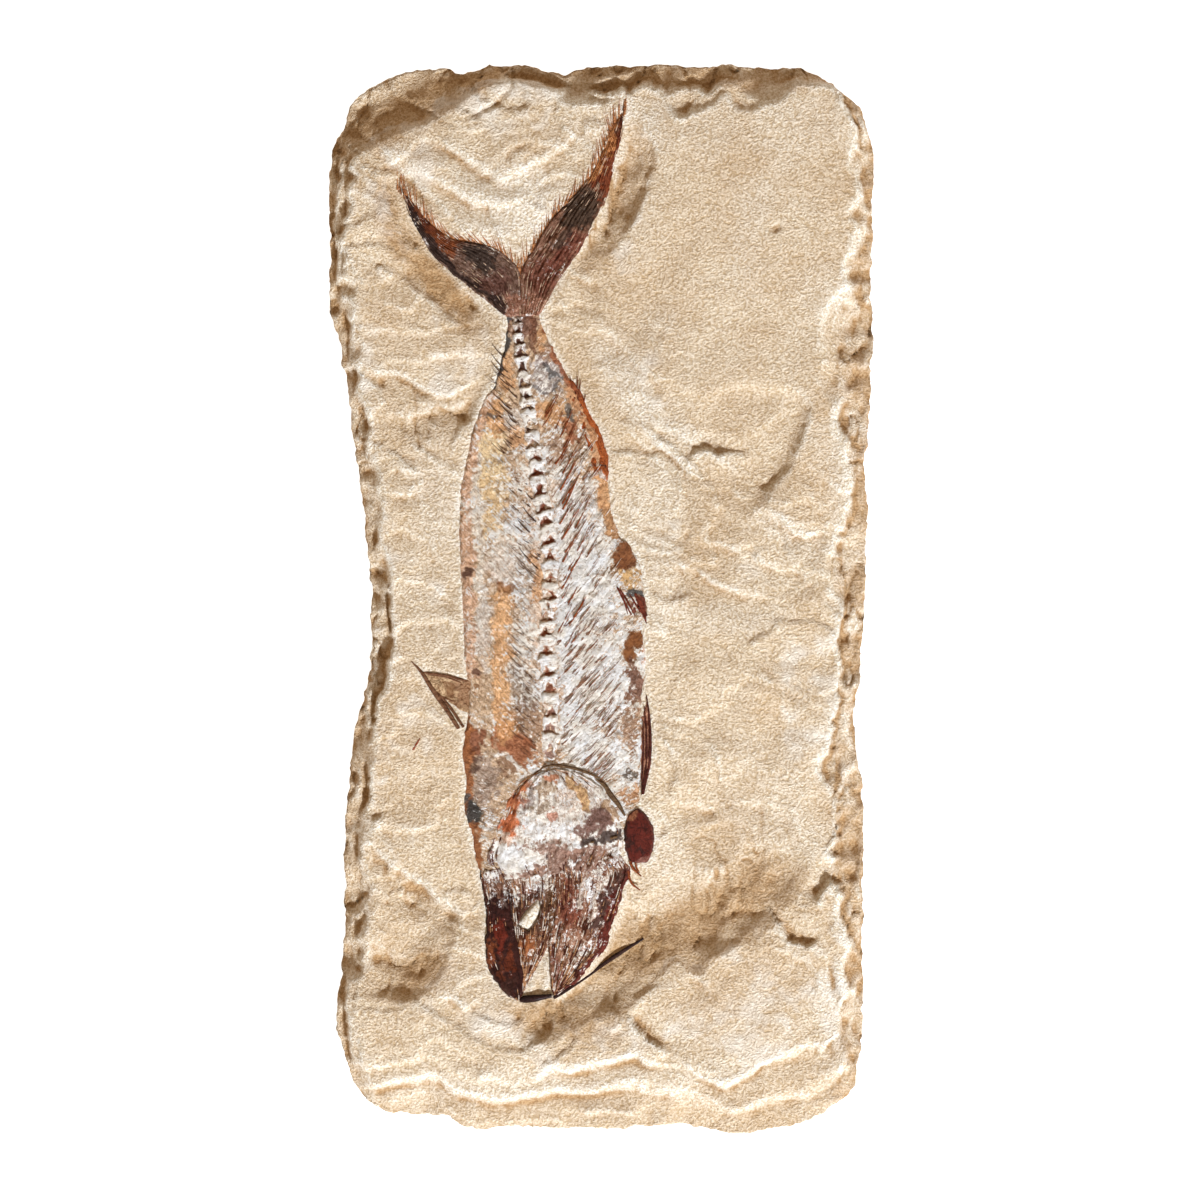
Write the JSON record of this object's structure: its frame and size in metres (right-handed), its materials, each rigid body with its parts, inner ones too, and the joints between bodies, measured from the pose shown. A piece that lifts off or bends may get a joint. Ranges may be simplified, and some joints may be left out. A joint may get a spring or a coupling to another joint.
{
  "type": "fossil fish slab",
  "caption": "Hand-trimmed limestone slab with a fork-tailed fossil fish bedded in its face, lying on a flat back.",
  "frame": {"origin": "middle of the slab's plan outline, on its flat back", "axes": "+Z out of the fossil face, +Y along the fish from snout to tail, -X towards the fish's back"},
  "size_m": [0.153, 0.3, 0.0205],
  "materials": {
    "limestone": "rough split and chipped limestone",
    "scaly_film": "satin mineralised film of scales and flesh",
    "pale_bone": "satin silvery mineralised bone",
    "brown_bone": "satin brown mineralised bone",
    "red_bone": "glossy red-brown mineralised bone",
    "dark_bone": "satin near-black mineralised bone"
  },
  "bodies": {
    "root": {"limestone_slab": "limestone", "trunk": "scaly_film", "vertebral_column": "pale_bone", "gill_cover": "pale_bone", "shoulder_bone": "brown_bone", "cheek_bones": "brown_bone", "anal_fin": "brown_bone", "lower_jaw": "red_bone", "throat_plate": "red_bone", "pelvic_fin": "red_bone", "skull_roof": "dark_bone", "upper_jaw_front": "dark_bone", "upper_jaw_rod": "dark_bone", "pectoral_fin": "dark_bone", "dorsal_fin": "dark_bone", "tail_upper_lobe": "dark_bone", "tail_lower_lobe": "dark_bone"}
  },
  "joints": []
}
